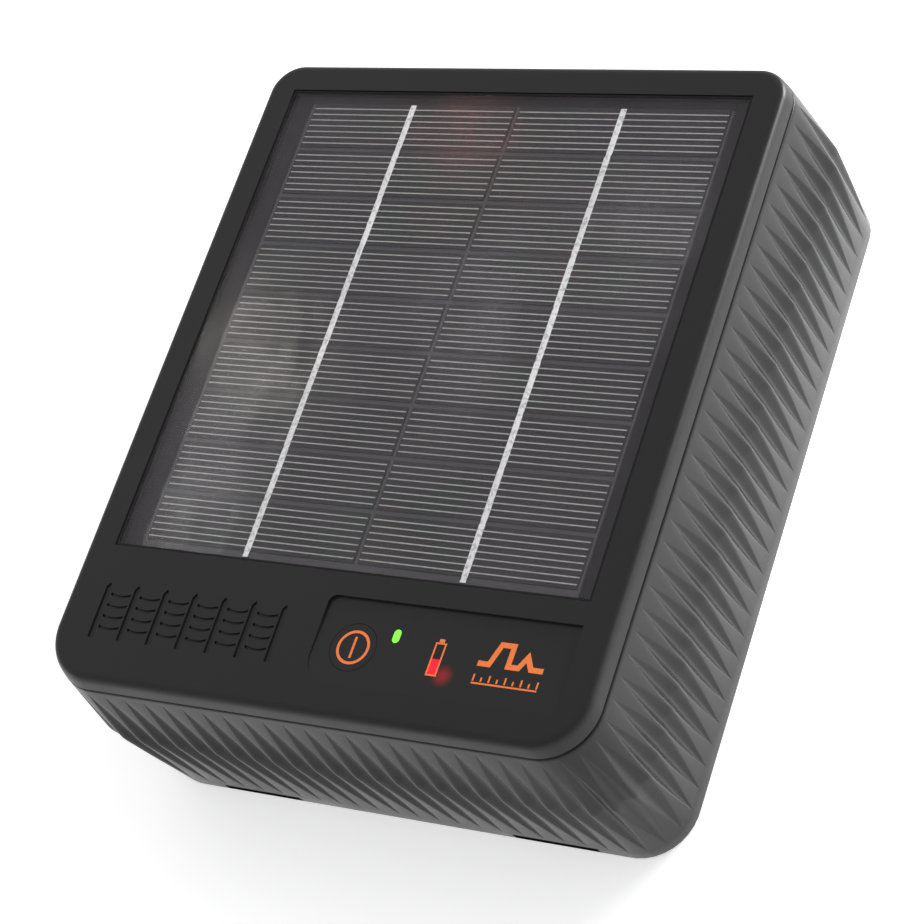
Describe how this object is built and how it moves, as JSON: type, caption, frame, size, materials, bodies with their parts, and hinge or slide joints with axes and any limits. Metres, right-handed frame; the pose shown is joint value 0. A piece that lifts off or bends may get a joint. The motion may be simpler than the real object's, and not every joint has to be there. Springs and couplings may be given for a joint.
{
  "type": "fence energizer",
  "caption": "Portable solar electric fence energizer: fluted box case with a solar panel face, power button, two status lights, and two screw terminals in the back.",
  "frame": {"origin": "centre of the case's box at the rear rim plane, on which the unit lies", "axes": "+X to the unit's right, +Y towards its top edge, +Z out of its solar face"},
  "size_m": [0.1344, 0.16, 0.0545],
  "materials": {
    "cover_plastic": "fine matte moulded grain",
    "housing_plastic": "satin moulded plastic, scooped flutes",
    "back_plastic": "matte moulded plastic",
    "seal_rubber": "soft black silicone",
    "foam_tape": "closed-cell foam",
    "panel_board": "black glass-epoxy board",
    "solar_silicon": "dark silicon with silver fingers",
    "ribbon_metal": "tinned copper ribbon",
    "panel_laminate": "clear satin laminate",
    "green_light": "lit green light pipe",
    "red_light": "lit red light pipe",
    "led_lens": "clear lamp body",
    "switch_plastic": "black switch plastic",
    "zinc_steel": "zinc-plated steel",
    "stainless_steel": "turned stainless steel",
    "circuit_board": "green solder mask",
    "capacitor_case": "cream potted case",
    "core_steel": "varnished laminations",
    "bobbin_plastic": "black nylon",
    "winding_copper": "enamelled copper wire",
    "black_epoxy": "moulded epoxy",
    "can_sleeve": "shrink sleeve",
    "connector_nylon": "natural nylon",
    "battery_wrap": "blue shrink wrap",
    "cradle_plastic": "black ABS",
    "wire_pvc": "PVC insulation",
    "fence_red": "red moulded knob",
    "earth_green": "green moulded knob"
  },
  "bodies": {
    "case": {"front_cover": "cover_plastic", "main_housing": "housing_plastic", "back_cover": "back_plastic", "vent_plug": "back_plastic", "cover_seal": "seal_rubber", "back_seal": "seal_rubber", "terminal_seals": "seal_rubber", "panel_tape": "foam_tape", "solar_substrate": "panel_board", "solar_cells": "solar_silicon", "cell_ribbons": "ribbon_metal", "panel_glazing": "panel_laminate", "status_light_pipe": "green_light", "battery_light_pipe": "red_light", "indicator_leds": "led_lens", "tact_switch": "switch_plastic", "cover_screws": "zinc_steel", "board_screws": "zinc_steel", "back_screws": "zinc_steel", "terminal_nuts": "zinc_steel", "fence_terminal_stud": "stainless_steel", "earth_terminal_stud": "stainless_steel", "battery_contacts": "stainless_steel", "main_board": "circuit_board", "pulse_capacitor": "capacitor_case", "transformer_core": "core_steel", "transformer_bobbin": "bobbin_plastic", "transformer_winding": "winding_copper", "thyristor": "black_epoxy", "charge_inductor": "black_epoxy", "filter_capacitors": "can_sleeve", "board_connectors": "connector_nylon", "battery_cells": "battery_wrap", "battery_cradle": "cradle_plastic", "battery_strap": "cradle_plastic", "battery_wires": "wire_pvc", "solar_wires": "wire_pvc", "output_wires": "wire_pvc"},
    "button": {"power_button": "cover_plastic", "switch_stem": "switch_plastic"},
    "fence_clamp": {"fence_terminal_washer": "stainless_steel"},
    "fence_knob": {"fence_terminal_knob": "fence_red"},
    "earth_clamp": {"earth_terminal_washer": "stainless_steel"},
    "earth_knob": {"earth_terminal_knob": "earth_green"}
  },
  "joints": [
    {"name": "button_press", "type": "slide", "parent": "case", "child": "button", "axis": [0, 0, -1], "range_m": [0, 0.0006], "stiffness_N_per_m": 900, "springref_m": -0.0005},
    {"name": "fence_washer_slide", "type": "slide", "parent": "case", "child": "fence_clamp", "axis": [0, 0, -1], "range_m": [0, 0.003]},
    {"name": "fence_knob_turn", "type": "hinge", "parent": "fence_clamp", "child": "fence_knob", "pos_m": [0.0367, -0.0565, 0], "axis": [0, 0, -1], "range_deg": [0, 1085]},
    {"name": "earth_washer_slide", "type": "slide", "parent": "case", "child": "earth_clamp", "axis": [0, 0, -1], "range_m": [0, 0.003]},
    {"name": "earth_knob_turn", "type": "hinge", "parent": "earth_clamp", "child": "earth_knob", "pos_m": [-0.0367, -0.0565, 0], "axis": [0, 0, -1], "range_deg": [0, 1085]}
  ],
  "couplings": [
    {"joint": "fence_knob_turn", "follows": "fence_washer_slide", "rad_per_m": 6283.2},
    {"joint": "earth_knob_turn", "follows": "earth_washer_slide", "rad_per_m": 6283.2}
  ]
}
